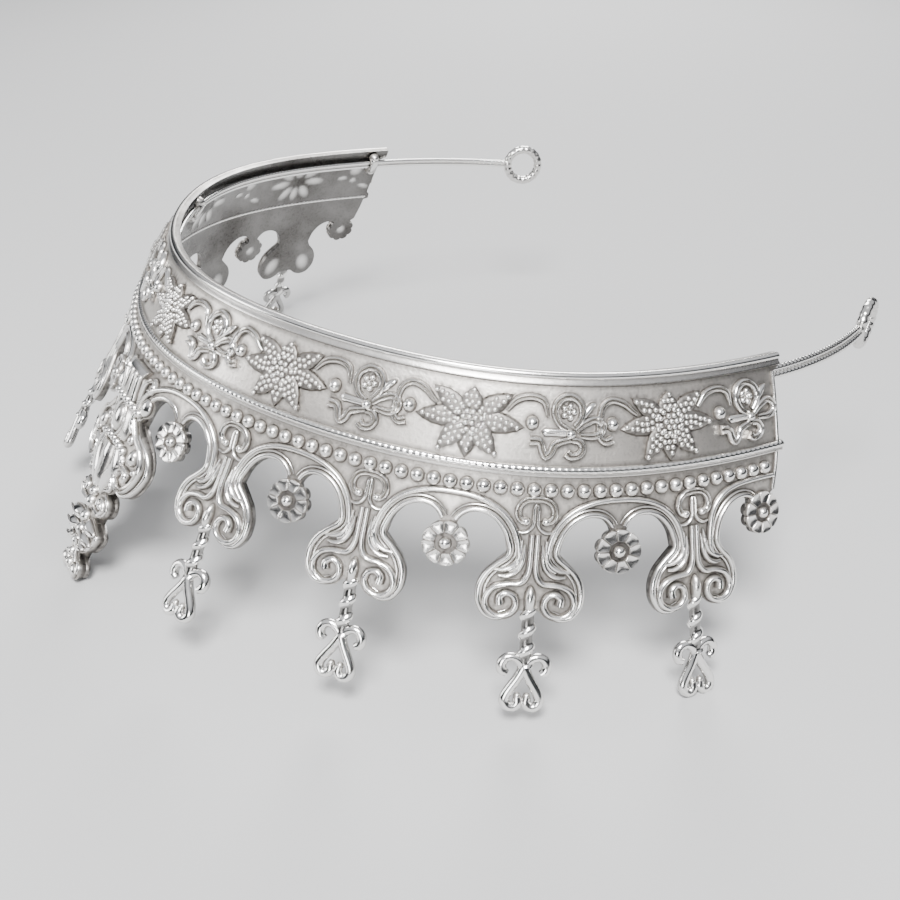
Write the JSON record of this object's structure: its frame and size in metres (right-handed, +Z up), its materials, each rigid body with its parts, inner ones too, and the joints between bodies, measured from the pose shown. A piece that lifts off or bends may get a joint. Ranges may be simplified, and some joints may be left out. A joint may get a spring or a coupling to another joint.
{
  "type": "bridal crown",
  "caption": "Open oval silver bridal crown with a flower frieze, a beaded arcade with hanging pendants, and a wire hairband ending in ribbon loops.",
  "frame": {"origin": "middle of the bounding box in plan, at the level of the feet", "axes": "+Z up, -Y towards the large front pendant, the open back towards +Y, +X to the right of a viewer who faces the front"},
  "size_m": [0.2032, 0.1714, 0.0642],
  "materials": {
    "cast_silver": "cast silver, polished on the high parts, matt cream-grey patina in the hollows",
    "wire_silver": "drawn silver wire, lightly tarnished",
    "clip_silver": "bent silver strip, lightly tarnished"
  },
  "bodies": {
    "root": {"crown_plate": "cast_silver", "hairband_wire": "wire_silver", "tie_left_end": "clip_silver", "tie_left_front": "clip_silver", "tie_right_front": "clip_silver", "tie_right_end": "clip_silver"}
  },
  "joints": []
}
